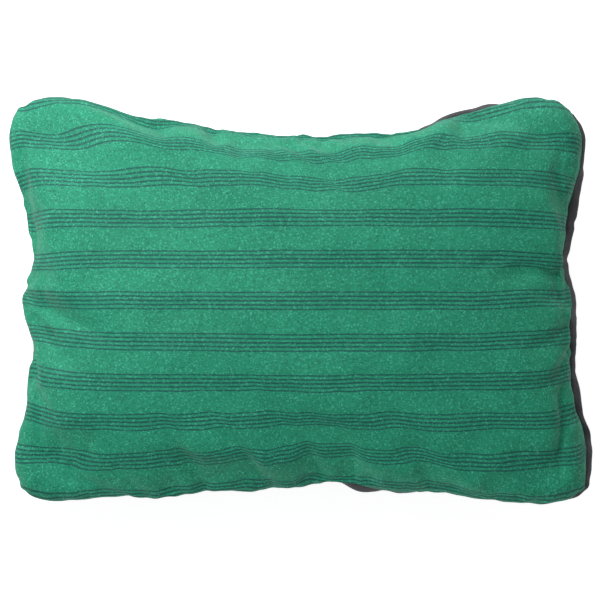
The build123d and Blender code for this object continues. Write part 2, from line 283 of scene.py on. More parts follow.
# ------------------------------------------------------------------ the two panels, sewn and filled
U, V = np.meshgrid(np.linspace(-1, 1, GRID[0]), np.linspace(-1, 1, GRID[1]), indexing="ij")
corner_cut = 14.0 * np.abs(U) ** 7 * np.abs(V) ** 7
FLAT_X, FLAT_Y = U * (PATTERN_X - corner_cut), V * (PATTERN_Y - corner_cut)
# distance to the seam on the flat panel
EDGE = np.minimum(PATTERN_X * (1 - np.abs(U)), PATTERN_Y * (1 - np.abs(V)))


def from_seam(width):
    """Rises from 0 at the seam to 1 at this distance from it."""
    return ease(EDGE / width)


def seam_plane(x):
    return SEAM_Z + SEAM_RISE * x / RISE_RUN


def span_border(grid):
    """Fills a grid of vectors smoothly from its four borders (a Coons patch)."""
    s, t = ((U + 1) / 2)[..., None], ((V + 1) / 2)[..., None]
    corners = ((1 - s) * (1 - t) * grid[0, 0] + s * (1 - t) * grid[-1, 0]
               + (1 - s) * t * grid[0, -1] + s * t * grid[-1, -1])
    return ((1 - t) * grid[:, :1] + t * grid[:, -1:] + (1 - s) * grid[:1] + s * grid[-1:]
            - corners)


def simulate():
    """Sews two flat panels along the seam, fills them and lets them settle as cloth.

    Returns the front and back sheets as grids of points in mm."""
    count = GRID[0] * GRID[1]
    front = np.arange(count).reshape(GRID)
    border = np.zeros(GRID, bool)
    border[0] = border[-1] = border[:, 0] = border[:, -1] = True
    inner = ~border
    back = front.copy()
    back[inner] = count + np.arange(inner.sum())
    total = count + inner.sum()
    lift = 3.0 * (1 - U ** 8) * (1 - V ** 8)
    flat = np.zeros((total, 3))
    flat[front] = np.stack([FLAT_X, FLAT_Y, SEAM_Z + lift], -1)
    flat[back[inner]] = np.stack([FLAT_X, FLAT_Y, SEAM_Z - lift], -1)[inner]

    sewn = flat.copy()
    sides = (  # border vertices, measured line, shift in x and y
        (front[:, -1], SEAM_POS_Y, (0, -2.5)), (front[:, 0], SEAM_NEG_Y, (0, 2.5)),
        (front[0, :], SEAM_NEG_X, (3.0, 0)), (front[-1, :], SEAM_POS_X, (0.5, 0)))
    for ids, line, (shift_x, shift_y) in sides:
        x, y = resample(line, len(ids)).T
        sewn[ids, 0], sewn[ids, 1] = x + shift_x, y + shift_y
        wave = 2.2 * field(5, x, y, wave=70) + 1.0 * field(6, x, y, wave=26)
        sewn[ids, 2] = seam_plane(x) + wave
    between = span_border(sewn[front])
    rise = np.zeros_like(between)
    rise[..., 2] = lift
    sewn[front[inner]] = (between + rise)[inner]
    sewn[back[inner]] = (between - rise)[inner]

    faces = np.r_[front.ravel()[grid_faces(*GRID)], back.ravel()[grid_faces(*GRID, flip=True)]]
    ob = make_object("sim_cloth", flat, faces)
    ob.shape_key_add(name="flat")
    key = ob.shape_key_add(name="sewn")
    key.data.foreach_set("co", (sewn / 1000).astype(np.float32).ravel())
    for value, at_frame in ((0.0, 1), (1.0, max(6, FRAMES // 3))):
        key.value = value
        key.keyframe_insert("value", frame=at_frame)
    group = ob.vertex_groups.new(name="seam")
    group.add([int(i) for i in front[border]], 1.0, "REPLACE")

    cloth = ob.modifiers.new("cloth", "CLOTH")
    settings = dict(
        quality=5, mass=0.1, tension_stiffness=12, compression_stiffness=6, shear_stiffness=3,
        bending_stiffness=0.03, tension_damping=5, compression_damping=5, shear_damping=5,
        bending_damping=0.5, air_damping=2.0, vertex_group_mass="seam", pin_stiffness=1,
        rest_shape_key=ob.data.shape_keys.key_blocks[0], use_pressure=True,
        uniform_pressure_force=4.0, use_pressure_volume=True, target_volume=0.0165)
    for name, value in settings.items():
        setattr(cloth.settings, name, value)
    cloth.settings.effector_weights.gravity = 0.0
    cloth.collision_settings.use_collision = False
    cloth.point_cache.frame_start, cloth.point_cache.frame_end = 1, FRAMES
    scene.frame_start, scene.frame_end = 1, FRAMES
    for at_frame in range(1, FRAMES + 1):
        scene.frame_set(at_frame)

    graph = bpy.context.evaluated_depsgraph_get()
    settled = bpy.data.meshes.new_from_object(ob.evaluated_get(graph))
    points = np.zeros(total * 3, np.float32)
    settled.vertices.foreach_get("co", points)
    points = points.reshape(-1, 3).astype(float) * 1000
    bpy.data.meshes.remove(settled)
    bpy.data.objects.remove(ob)
    scene.frame_set(1)
    return points[front], points[back]


def normals(sheet, flip=False):
    normal = np.cross(np.gradient(sheet, axis=0), np.gradient(sheet, axis=1))
    normal /= np.maximum(np.linalg.norm(normal, axis=2), 1e-9)[..., None]
    return -normal if flip else normal


def plump(height, top):
    """Rounds the panel near the seam, as stuffing does, and keeps the crown's height."""
    power = 0.72
    share = np.abs(height) / top
    rounded = np.where(share < 1, np.maximum(share, 1e-6) ** power, 1 + power * (share - 1))
    return np.sign(height) * top * rounded


def round_heights(front, back):
    """Opens the panels apart near the seam and plumps them about the seam's own height."""
    plane_front, plane_back = seam_plane(front[..., 0]), seam_plane(back[..., 0])
    # the seam's ripple fades into the mean seam plane
    ripple = span_border((front[..., 2] - plane_front)[..., None])[..., 0] * np.exp(-EDGE / 30.0)
    mid_front, mid_back = plane_front + ripple, plane_back + ripple
    above, below = front[..., 2] - mid_front, back[..., 2] - mid_back
    least_half = 22.0 * from_seam(26.0) / 2
    mean = (above + below) / 2 * (0.15 + 0.85 * ease((EDGE - 6) / 60.0))
    half = smooth_max((above - below) / 2, least_half, blend=2 * np.sqrt(from_seam(8.0)))
    above, below = mean + half, mean - half
    above = plump(above, np.percentile(above, 99.5))
    below = plump(below, np.percentile(-below, 99.5))
    front[..., 2] = mid_front + above * from_seam(2.0)
    back[..., 2] = mid_back + below * from_seam(2.0)


def roll_past_seam(front, back):
    """The front rolls out past the seam on -X and both Y sides, the back on +X."""
    roll = (EDGE / 10.0) * np.exp(1 - EDGE / 10.0)
    roll_x = np.sign(U) * ease((np.abs(U) - 0.75) / 0.2) * roll
    roll_y = np.sign(V) * ease((np.abs(V) - 0.65) / 0.25) * roll
    for sheet, pos_x, neg_x, both_y in ((front, 0.8, 4.5, 3.6), (back, 7.0, 1.0, 1.0)):
        sheet[..., 0] += np.where(U > 0, pos_x, neg_x) * roll_x
        sheet[..., 1] += both_y * roll_y


def add_lumps(front, back):
    """Broad soft lumps of loose fill, and small puckers that fade away from the seam."""
    lumps = 1.3 * field(11, FLAT_X, FLAT_Y, wave=95) + 0.55 * field(12, FLAT_X, FLAT_Y, wave=42)
    pucker = 0.9 * (field(13, FLAT_X, FLAT_Y, wave=17, count=30)
                    * np.exp(-EDGE / 20.0) * from_seam(6.0))
    away = from_seam(45.0)
    front += normals(front) * (lumps * away + pucker)[..., None]
    back += normals(back, True) * (lumps[::-1, ::-1] * away + pucker[::-1])[..., None]


def add_creases(front):
    # a soft crease on the +X side of the middle, with a low ridge beside it
    offset = FLAT_X - (88 - 0.06 * (FLAT_Y - 40))
    span = ease((FLAT_Y + 75) / 60) * ease((130 - FLAT_Y) / 50)
    front[..., 2] += span * (1.4 * bell(offset - 22, 14.0) - 2.4 * bell(offset, 9.0))
    # the short folds at the seam, each with a low ridge on both sides
    for start, end, width, depth in FOLDS:
        run = np.subtract(end, start).astype(float)
        length = np.hypot(*run)
        run /= length
        x, y = front[..., 0] - start[0], front[..., 1] - start[1]
        along, across = x * run[0] + y * run[1], y * run[0] - x * run[1]
        span = ease((along + 6) / 10) * ease((length + 8 - along) / (0.6 * length + 8))
        ridge = 0.35 * bell(np.abs(across) - 2.1 * width, width)
        front[..., 2] += depth * span * from_seam(6.0) * (ridge - bell(across, width))


# ------------------------------------------------------------------ fitting the panels to the outline
HALF_DEGREES = np.arange(720) * math.radians(0.5)


def smooth_round(values, spread):
    """Values given every half degree, smoothed round the circle by a spread in degrees."""
    kernel = np.exp(-0.5 * (np.arange(-60, 61) * 0.5 / spread) ** 2)
    looped = np.r_[values[-60:], values, values[:60]]
    return np.convolve(looped, kernel / kernel.sum(), "valid")


def outline(values):
    """Values given every 3 degrees, as a smooth curve every half degree."""
    angles = np.arange(121) * math.radians(3.0)
    return smooth_round(np.interp(HALF_DEGREES, angles, values + [values[0]]), spread=0.8)


def reach_of(sheet, rings):
    """Reach seen from the eye of the farthest of some rings of points, in each direction."""
    best = np.zeros(len(HALF_DEGREES))
    for inset in rings:
        x, y, z = grid_ring(sheet, inset).T
        angle = np.arctan2(y, x) % (2 * math.pi)
        reach = np.hypot(x, y) * (EYE_Z - OUTLINE_Z) / (EYE_Z - z)
        order = np.argsort(angle)
        seen = np.interp(HALF_DEGREES, angle[order], reach[order], period=2 * math.pi)
        best = np.maximum(best, seen)
    return best


def move_out(sheet, target, rings, weight):
    """Moves points level, away from the middle, so the farthest ones meet the target reach."""
    miss = smooth_round(target - reach_of(sheet, rings), spread=1.2)
    angle = np.arctan2(sheet[..., 1], sheet[..., 0])
    move = np.interp(angle % (2 * math.pi), HALF_DEGREES, miss, period=2 * math.pi)
    move *= weight * (EYE_Z - sheet[..., 2]) / (EYE_Z - OUTLINE_Z)
    moved = sheet.copy()
    moved[..., 0] += np.cos(angle) * move
    moved[..., 1] += np.sin(angle) * move
    return moved


def fit_outline(front, back):
    shown = [(reach, BACK_SHOWS.get(i, 0)) for i, reach in enumerate(REACH)]
    front_reach = outline(REACH)
    back_reach = outline([reach + (past or -3.0) for reach, past in shown])
    seam_reach = outline([reach - (1.2 if past else 3.0) for reach, past in shown])
    extra = 1.0  # the rolled edges aim this much past their outline
    for _ in range(2):
        front, back = [move_out(sheet, seam_reach, [0], bell(EDGE, 80.0))
                       for sheet in (front, back)]
    for _ in range(2):
        front = move_out(front, front_reach + extra, range(7), from_seam(10.0) * bell(EDGE, 60.0))
        back = move_out(back, back_reach + extra, range(7), from_seam(10.0) * bell(EDGE, 45.0))
    return front, back


def outline_share(x, y):
    """Where a point lies between the middle (0) and the CAD outline (1)."""
    angles = np.arctan2(CAD_OUTLINE[:, 1], CAD_OUTLINE[:, 0])
    order = np.argsort(angles)
    reach = np.hypot(*CAD_OUTLINE.T)[order]
    return np.hypot(x, y) / np.interp(np.arctan2(y, x), angles[order], reach, period=2 * math.pi)


def ground(x, y):
    """The lowest height the underside may have: over the floor, the flap and the cord parts."""
    flap = ease((172 - np.abs(x)) / 18.0) * ease((94 - y) / 18.0)
    share = outline_share(x, y)
    # height of the CAD underside by its share of the outline
    cad = np.interp(share, [0.64, 0.69, 0.755, 0.86, 0.94, 0.985, 1.0],
                    [0, 8, 16, 26, 34, 38, 38])
    room = ease((-y - 55) / 45.0) * np.where(share < 1, 1, 0.9)
    return np.maximum(0.3 + 7.6 * flap, 1.02 * cad * room)


def build_sheets():
    front, back = simulate()
    round_heights(front, back)
    roll_past_seam(front, back)
    add_lumps(front, back)
    add_creases(front)
    front, back = fit_outline(front, back)
    back[..., 2] = smooth_max(back[..., 2], ground(back[..., 0], back[..., 1]),
                              blend=1.6 * from_seam(10.0) + 0.01)
    z = front[..., 2]
    squeeze = (LOFT - LOFT_FROM) / max(z.max() - LOFT_FROM, 1)
    front[..., 2] = np.where(z > LOFT_FROM, LOFT_FROM + (z - LOFT_FROM) * squeeze, z)
    return front, back


front, back = build_sheets()

# ------------------------------------------------------------------ materials
MATERIALS = {}  # by name, which is also the slot name


def tint(colour, by, plus=0.0):
    return tuple(by * channel + plus for channel in colour)


class Material:
    """A node material, with short names for the nodes used here."""

    def __init__(self, name):
        self.material = MATERIALS[name] = bpy.data.materials.new(name)
        self.material.use_nodes = True
        self.tree = self.material.node_tree
        self.tree.nodes.clear()
        self.output = self.node("OutputMaterial")
        self.shader = self.node("BsdfPrincipled")
        self.put(self.shader.outputs[0], self.output.inputs[0])

    def put(self, value, target):
        """Sets an input to a number or a colour, or links it."""
        if isinstance(value, (int, float)):
            target.default_value = value
        elif isinstance(value, tuple):
            target.default_value = (*value, 1.0)
        else:
            self.tree.links.new(value, target)

    def feed(self, node, inputs):
        for name, value in inputs.items():
            self.put(value, node.inputs[name.replace("_", " ")])

    def node(self, kind, **inputs):
        node = self.tree.nodes.new("ShaderNode" + kind)
        self.feed(node, inputs)
        return node

    def set(self, **inputs):
        self.feed(self.shader, inputs)

    def math(self, operation, a, b=0.0, clamp=False):
        node = self.node("Math")
        node.operation, node.use_clamp = operation, clamp
        for value, target in zip((a, b, 0.0), node.inputs):
            self.put(value, target)
        return node.outputs[0]

    def add(self, a, b):
        return self.math("ADD", a, b)

    def sub(self, a, b):
        return self.math("SUBTRACT", a, b)

    def mul(self, a, b):
        return self.math("MULTIPLY", a, b)

    def size(self, a):
        return self.math("ABSOLUTE", a)

    def wave(self, a, rate):
        return self.math("SINE", self.mul(a, rate))

    def uv(self):
        """The fabric UV vector, and its two parts in mm."""
        node = self.node("UVMap")
        node.uv_map = "fabric"
        parts = self.node("SeparateXYZ", Vector=node.outputs[0]).outputs
        return node.outputs[0], self.mul(parts[0], 1000.0), self.mul(parts[1], 1000.0)

    def place(self):
        return self.node("TexCoord").outputs["Object"]

    def stretch(self, vector, by):
        node = self.node("Mapping", Vector=vector)
        node.inputs["Scale"].default_value = by
        return node.outputs[0]

    def noise(self, vector, scale, detail=2.0, rough=0.5):
        return self.node("TexNoise", Vector=vector, Scale=scale, Detail=detail,
                         Roughness=rough).outputs[0]

    def voronoi(self, vector, scale, feature="F1"):
        node = self.node("TexVoronoi", Vector=vector, Scale=scale)
        node.feature = feature
        return node.outputs

    def ramp(self, value, span, to=(0.0, 1.0)):
        """Smooth step of a value over a span."""
        node = self.node("MapRange", Value=value, From_Min=span[0], From_Max=span[1],
                         To_Min=to[0], To_Max=to[1])
        node.interpolation_type = "SMOOTHSTEP"
        return node.outputs[0]

    def mix(self, factor, a, b):
        node = self.node("Mix")
        node.data_type = "RGBA"
        for value, i in ((factor, 0), (a, 6), (b, 7)):
            self.put(value, node.inputs[i])
        return node.outputs[2]

    def bump(self, height, distance, strength, **normal):
        return self.node("Bump", Distance=distance, Strength=strength, Height=height,
                         **normal).outputs[0]


def brushed_knit():
    """Green brushed knit with stripes: groups of five lines, the middle one the widest."""
    pitch, step, shift = 40.0, 4.0, 420.0  # group to group, line to line, offset of the groups
    drift, thinning = 3.2, 0.12  # wander of the stripes, narrowing of each line outwards
    lines_each_side = 2.5
    green_low, green_high = (0.010, 0.300, 0.166), (0.014, 0.345, 0.192)
    ink_colour, pale_loop, dark_loop = (0.003, 0.062, 0.074), (0.110, 0.720, 0.470), \
        (0.004, 0.110, 0.064)
    mat = Material("brushed_knit")
    vector, x, y = mat.uv()
    wander = mat.mul(mat.sub(mat.noise(vector, scale=9.0, detail=1.0), 0.5), drift)
    row = mat.math("DIVIDE", mat.add(mat.add(y, wander), shift), pitch)
    local = mat.mul(mat.sub(mat.math("FRACT", row), 0.5), pitch)
    index = mat.math("ROUND", mat.math("DIVIDE", local, step))
    off = mat.size(mat.sub(local, mat.mul(index, step)))
    thinner = mat.mul(mat.size(index), thinning)
    line = mat.ramp(mat.add(off, thinner), span=(0.75, 1.25), to=(1.0, 0.0))
    in_group = mat.math("LESS_THAN", mat.size(index), lines_each_side)
    # fine slanting twist in each line, from 0.72 to 1, and soft wear
    slant = mat.add(x, mat.mul(y, 0.6))
    twist = mat.add(0.86, mat.mul(mat.wave(slant, rate=3.3), 0.14))
    wear = mat.ramp(mat.noise(vector, scale=560.0), span=(0.36, 0.50), to=(0.70, 1.0))
    ink = mat.math("MULTIPLY", mat.mul(mat.mul(line, in_group), twist), wear, clamp=True)
    tone = mat.noise(vector, scale=14.0, detail=3.0, rough=0.55)
    # every loop of the knit takes the dye a little differently
    loops = mat.voronoi(vector, scale=900.0)["Color"]
    loop = mat.node("SeparateColor", Color=loops).outputs[0]
    colour = mat.mix(mat.ramp(tone, span=(0.3, 0.7)), green_low, green_high)
    colour = mat.mix(mat.mul(ink, 0.96), colour, ink_colour)
    pale = mat.mul(mat.ramp(loop, span=(0.78, 1.0), to=(0.0, 0.50)),
                   mat.sub(1.0, mat.mul(ink, 0.6)))
    colour = mat.mix(pale, colour, pale_loop)
    colour = mat.mix(mat.ramp(loop, span=(0.30, 0.0), to=(0.0, 0.60)), colour, dark_loop)
    # relief: knit ribs both ways under fuzz, over a softer unevenness
    knit = mat.add(mat.mul(mat.wave(x, rate=7.0), 0.25), mat.mul(mat.wave(y, rate=6.0), 0.25))
    fuzz = mat.add(mat.mul(mat.noise(vector, scale=420.0, detail=4.0, rough=0.75), 1.4), knit)
    soft = mat.bump(mat.noise(vector, scale=60.0, detail=3.0, rough=0.55),
                    distance=0.0022, strength=0.30)
    mat.set(Base_Color=colour, Roughness=0.62,
            Normal=mat.bump(fuzz, distance=0.00030, strength=0.6, Normal=soft),
            Sheen_Weight=0.16, Sheen_Roughness=0.5, Sheen_Tint=(0.7, 0.95, 0.85),
            Specular_IOR_Level=0.38)


def weave(name, dark, light, pitch, sheen):
    """Plain weave: warp and weft over and under, with uneven yarns."""
    relief = 0.4  # share of each yarn direction, and of their crossing, in the height
    mat = Material(name)
    vector, x, y = mat.uv()
    rate = 2 * math.pi / pitch
    warp, weft = mat.wave(x, rate), mat.wave(y, rate)
    over = mat.mul(warp, weft)
    height = mat.add(mat.mul(mat.size(warp), relief),
                     mat.add(mat.mul(mat.size(weft), relief), mat.mul(over, relief)))
    slubs = [mat.noise(mat.stretch(vector, by=by), scale=70.0, detail=3.0, rough=0.6)
             for by in ((1.0, 9.0, 1.0), (9.0, 1.0, 1.0))]
    yarn = mat.add(mat.mul(over, 0.22), mat.mul(mat.add(*slubs), 0.5))
    colour = mat.mix(mat.ramp(yarn, span=(0.3, 0.8)), dark, light)
    patches = mat.ramp(mat.noise(vector, scale=12.0), span=(0.35, 0.7), to=(0.0, 0.35))
    colour = mat.mix(patches, colour, tint(light, by=1.35))
    soft = mat.bump(mat.noise(vector, scale=90.0, detail=3.0), distance=0.0015, strength=0.25)
    mat.set(Base_Color=colour, Roughness=0.86,
            Normal=mat.bump(height, distance=0.00022, strength=0.6, Normal=soft),
            Sheen_Weight=sheen, Sheen_Roughness=0.4, Sheen_Tint=(0.75, 0.8, 0.85),
            Specular_IOR_Level=0.25)


def foam():
    """Pale crumbs of foam, with painted shade in the gaps between them."""
    shade, cream, painted_gap_shade = (0.62, 0.52, 0.33), (0.80, 0.74, 0.58), (0.25, 0.2, 0.12)
    mat = Material("foam")
    place = mat.place()
    chunk = mat.voronoi(place, scale=75.0)["Color"]
    edge = mat.voronoi(place, scale=75.0, feature="DISTANCE_TO_EDGE")["Distance"]
    pores = mat.noise(place, scale=900.0, rough=0.7)
    colour = mat.mix(mat.ramp(chunk, span=(0.2, 0.9)), shade, cream)
    # painted shade: each crumb darkens towards its edges, where the gaps between the crumbs lie
    colour = mat.mix(mat.ramp(edge, span=(0.0, 0.08), to=(0.75, 0.0)), colour, painted_gap_shade)
    height = mat.add(mat.ramp(edge, span=(0.0, 0.16)), mat.mul(pores, 0.12))
    mat.set(Base_Color=colour, Roughness=0.95, Specular_IOR_Level=0.1,
            Normal=mat.bump(height, distance=0.004, strength=0.9))


def braid(name, dark, light):
    """Round braid. The fabric UV runs along the cord (x) and round it (y)."""
    mat = Material(name)
    vector, x, y = mat.uv()
    around = mat.mul(y, 2 * math.pi * BRAID_STRANDS / BRAID_UV_TURN)
    strands = [mat.math("SINE", mat.math(way, mat.mul(x, BRAID_TWIST), around))
               for way in ("ADD", "SUBTRACT")]
    height = mat.math("MAXIMUM", *strands)
    # painted shade: the strands' raised crowns take the light colour and the grooves between them the
    # dark one
    colour = mat.mix(mat.ramp(height, span=(-0.2, 0.95)), dark, light)
    # painted highlight: fine pale streaks along the fibres, brighter than the yarn itself
    fibre = mat.noise(mat.stretch(vector, by=(1.0, 6.0, 1.0)), scale=900.0)
    painted_fibre_highlight = mat.ramp(fibre, span=(0.4, 0.7), to=(0.0, 0.4))
    mat.set(Base_Color=mat.mix(painted_fibre_highlight, colour, tint(light, by=1.8)), Roughness=0.7,
            Normal=mat.bump(height, distance=0.0003, strength=0.7), Sheen_Weight=0.2)


def plastic(name, base, rough):
    mat = Material(name)
    place = mat.place()
    grain = mat.noise(place, scale=2600.0, detail=3.0, rough=0.6)
    marks = mat.noise(mat.stretch(place, by=(1.0, 5.0, 1.0)), scale=160.0, detail=4.0, rough=0.6)
    pale = mat.ramp(marks, span=(0.35, 0.75), to=(0.0, 0.5))
    mat.set(Base_Color=mat.mix(pale, base, tint(base, by=1.6, plus=0.004)),
            Roughness=mat.ramp(marks, span=(0.3, 0.8), to=(rough - 0.08, rough + 0.12)),
            Normal=mat.bump(grain, distance=0.00006, strength=0.5), Specular_IOR_Level=0.5)


def metal(name, base, rough):
    mat = Material(name)
    lines = mat.noise(mat.stretch(mat.place(), by=(1.0, 1.0, 12.0)),
                      scale=500.0, detail=3.0, rough=0.6)
    shade = mat.ramp(lines, span=(0.3, 0.7))
    mat.set(Base_Color=mat.mix(shade, base, tint(base, by=0.75)), Metallic=1.0,
            Roughness=mat.ramp(lines, span=(0.3, 0.7), to=(rough, rough + 0.15)),
            Normal=mat.bump(lines, distance=0.00003, strength=0.4))


def thread(name, dark, light):
    mat = Material(name)
    fibre = mat.noise(mat.stretch(mat.place(), by=(1.0, 1.0, 1.0)), scale=1800.0, rough=0.6)
    mat.set(Base_Color=mat.mix(mat.ramp(fibre, span=(0.35, 0.7)), dark, light), Roughness=0.75,
            Normal=mat.bump(fibre, distance=0.00012, strength=0.6), Sheen_Weight=0.2)


brushed_knit()
weave("charcoal_weave", dark=(0.032, 0.032, 0.035), light=(0.086, 0.087, 0.095),
      pitch=0.9, sheen=0.25)
weave("flap_weave", dark=(0.030, 0.030, 0.033), light=(0.078, 0.079, 0.087),
      pitch=0.8, sheen=0.25)
weave("binding_tape", dark=(0.015, 0.016, 0.018), light=(0.045, 0.048, 0.053),
      pitch=0.7, sheen=0.15)
foam()
# the cord's dark colour is painted shade in the grooves between the strands, and its light colour the
# lit crowns
braid("cord", dark=(0.010, 0.010, 0.011), light=(0.045, 0.046, 0.050))
thread("thread", dark=(0.02, 0.02, 0.022), light=(0.06, 0.06, 0.066))
plastic("black_plastic", base=(0.018, 0.018, 0.019), rough=0.42)
plastic("grey_plastic", base=(0.055, 0.056, 0.060), rough=0.46)
metal("eyelet_metal", base=(0.34, 0.34, 0.35), rough=0.32)
metal("spring_steel", base=(0.62, 0.62, 0.62), rough=0.22)


def finish_piece(ob, slot, body, *nodes):
    """Gives a piece its material, the body it rides and the CAD nodes it replaces."""
    ob.data.materials.clear()
    ob.data.materials.append(MATERIALS[slot])
    if body:
        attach(ob, body)
    if nodes:
        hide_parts(*nodes)


# ------------------------------------------------------------------ the sewn cover
def build_panel(name, sheet, flip):
    flat_uv = np.stack([FLAT_X, FLAT_Y], -1).reshape(-1, 2)
    ob = make_object(name, sheet.reshape(-1, 3), grid_faces(*GRID, flip), flat_uv)
    subdivide = ob.modifiers.new("subdivide", "SUBSURF")
    subdivide.levels = subdivide.render_levels = 1
    add_thickness(ob, thickness=0.0011, offset=-1.0)
    apply_modifiers(ob)
    return ob


finish_piece(build_panel("front_panel_cloth", front, False), "brushed_knit", "root",
             "front_panel")
finish_piece(build_panel("back_panel_cloth", back, True), "charcoal_weave", "root",
             "back_panel")

# ------------------------------------------------------------------ foam and binding in the cover
seam_line = grid_ring(front)
for _ in range(6):
    seam_line = (0.25 * np.roll(seam_line, 1, 0) + 0.5 * seam_line
                 + 0.25 * np.roll(seam_line, -1, 0))
seam_run = np.roll(seam_line, -1, 0) - np.roll(seam_line, 1, 0)
seam_inward = unit(np.c_[-seam_run[:, 1], seam_run[:, 0], 0 * seam_run[:, 0]])


def clear_of_seam(sheet, least=13.0, reach=40.0):
    """Draws the fill in from the seam, so that it stops short of the turned-in tape."""
    points = sheet.reshape(-1, 3).copy()
    for start in range(0, len(points), 4000):
        part = points[start:start + 4000]
        distance = np.linalg.norm(part[:, None, :2] - seam_line[None, :, :2], axis=2)
        near = distance.argmin(1)
        push = np.maximum(0.0, least * (1 - distance.min(1) / reach))
        part[:, :2] += seam_inward[near, :2] * push[:, None]
    return points.reshape(sheet.shape)


def build_foam():
    """Lumpy block of shredded foam, at least 5 mm inside both panels before it is drawn in."""
    lump = (field(21, FLAT_X, FLAT_Y, wave=26) * 0.8 + field(22, FLAT_X, FLAT_Y, wave=13) * 0.4)
    depth = (5.0 + np.abs(lump))[..., None]
    inside = slice(FOAM_MARGIN, -FOAM_MARGIN)
    top = clear_of_seam((front - normals(front) * depth)[inside, inside])
    under = clear_of_seam((back - normals(back, True) * depth)[inside, inside])
    top[..., 2] = np.maximum(top[..., 2], under[..., 2] + 3)
    rows, cols = top.shape[:2]
    count = rows * cols
    loop = grid_ring(np.arange(count).reshape(rows, cols))
    following = np.roll(loop, -1)
    faces = np.r_[grid_faces(rows, cols), grid_faces(rows, cols, True, base=count),
                  np.stack([loop, loop + count, following + count, following], -1)]
    verts = np.r_[top.reshape(-1, 3), under.reshape(-1, 3)]
    finish_piece(make_closed("foam_fill_shredded", verts, faces), "foam", "root", "foam_fill")


def build_binding():
    # section of the tape: distance in from the seam, height
    section = [(2.0, 0.8), (6.0, 0.8), (10.0, 0.8), (10.6, 0.0), (10.0, -0.8), (6.0, -0.8),
               (2.0, -0.8)]
    lines = [seam_line + seam_inward * inset + np.array([0, 0, z]) for inset, z in section]
    verts = np.stack(lines, 1).reshape(-1, 3)
    wrapped = grid_faces(len(seam_line) + 1, len(section), wrap=True) % len(verts)
    uv = strip_uv(arc_length(seam_line), [inset for inset, _ in section])
    ob = make_closed("seam_binding_tape", verts, wrapped[:, [0, 3, 2, 1]], uv)
    finish_piece(ob, "binding_tape", "root", "seam_binding")


build_foam()
build_binding()

# ------------------------------------------------------------------ stow flap
FLAP_START, FLAP_END = -142.6, 71.6  # y
FLAP_HALF, FLAP_CORNER = 149.6, 30.0  # half width, corner radius at the +Y end
FLAP_Z, FLAP_THICK = 5.65, 1.4


def build_flap():
    fold_start, fold_end, columns = -125.0, -118.0, 121
    row_y = np.unique(np.round(np.r_[np.linspace(FLAP_START, fold_start, 16),
                                     np.arange(fold_start, fold_end, 0.4),
                                     np.linspace(fold_end, FLAP_END, 84)], 3))
    half = np.interp(row_y, [FLAP_START, -123, -112, 42], [136, 136, 149.2, FLAP_HALF])
    corner = row_y > 42.0
    rise = row_y[corner] - (FLAP_END - FLAP_CORNER)
    half[corner] = (FLAP_HALF - FLAP_CORNER
                    + np.sqrt(np.maximum(FLAP_CORNER ** 2 - rise ** 2, 0)))
    y, across = np.meshgrid(row_y, np.linspace(-1, 1, columns), indexing="ij")
    x = across * half[:, None]
    z = np.interp(y, [FLAP_START, -133, -125, -120, -110, 80],
                  [5.35, 4.5, 3.65, 3.75, 5.55, FLAP_Z])
    # slight waves in the flat part, clear of the hem
    flat = ease((y + 112) / 20) * ease((135 - np.abs(x)) / 10) * ease((55 - y) / 12)
    z += flat * (0.28 * field(31, x, y, wave=60) + 0.14 * field(32, x, y, wave=22) - 0.1)
    ob = make_object("stow_flap_fabric", np.stack([x, y, z], -1).reshape(-1, 3),
                     grid_faces(len(row_y), columns, True), np.stack([x, y], -1).reshape(-1, 2))
    add_thickness(ob, thickness=FLAP_THICK / 1000, offset=0.0)
    apply_modifiers(ob)
    finish_piece(ob, "flap_weave", None, "stow_flap", "flap_anchor_web")
    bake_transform(ob)


build_flap()

# ------------------------------------------------------------------ hem round three sides of the flap
HEM_X, HEM_END_Y, HEM_START_Y, HEM_Z = 144.0, 66.0, -114.7, 2.6
HEM_TURN = 24.0  # corner radius


def hem_path(start, step):
    """Up the -X side, across the +Y end and down the +X side."""
    turn_x, turn_y = HEM_X - HEM_TURN, HEM_END_Y - HEM_TURN
    corner = np.linspace(0, math.pi / 2, int(HEM_TURN * 1.57 / step))
    bend = [(HEM_TURN * math.cos(a), HEM_TURN * math.sin(a)) for a in corner]
    points = [(-HEM_X, y) for y in np.arange(start, turn_y, step)]
    points += [(-turn_x - cos, turn_y + sin) for cos, sin in bend]
    points += [(x, HEM_END_Y) for x in np.arange(-turn_x + step, turn_x, step)]
    points += [(turn_x + sin, turn_y + cos) for cos, sin in bend]
    points += [(HEM_X, y) for y in np.arange(turn_y - step, start, -step)] + [(HEM_X, start)]
    return np.c_[np.array(points), np.full(len(points), HEM_Z)]


hem_line = hem_path(HEM_START_Y, step=1.6)
hem_sides, hem_ups = path_frames(hem_line)


def squircle(wave):
    return np.sign(wave) * np.abs(wave) ** 0.75


def build_hem():
    """Gathered casing: a squarish tube whose width and height waver along it."""
    arc = arc_length(hem_line)
    knots = np.arange(0, arc[-1] + 12, 4.5)
    gather = np.interp(arc, knots, np.random.default_rng(41).uniform(-1, 1, len(knots)))
    ruffle = np.sin(arc * 2 * math.pi / 6.3 + 1.5 * np.sin(arc / 21.0))
    angles = turn(28)
    cos, sin = np.cos(angles), np.sin(angles)
    profiles = [np.c_[(4.9 + 0.22 * wide) * squircle(cos),
                      (1.98 + 0.10 * high * (np.abs(cos) < 0.8)) * squircle(sin)]
                for wide, high in zip(gather, ruffle)]
    ob = make_closed("flap_hem_gathered", *tube(hem_line, hem_sides, hem_ups, profiles),
                     tube_uv(arc, angles * 2.3))
    finish_piece(ob, "flap_weave", "stow_flap", "flap_hem_casing")


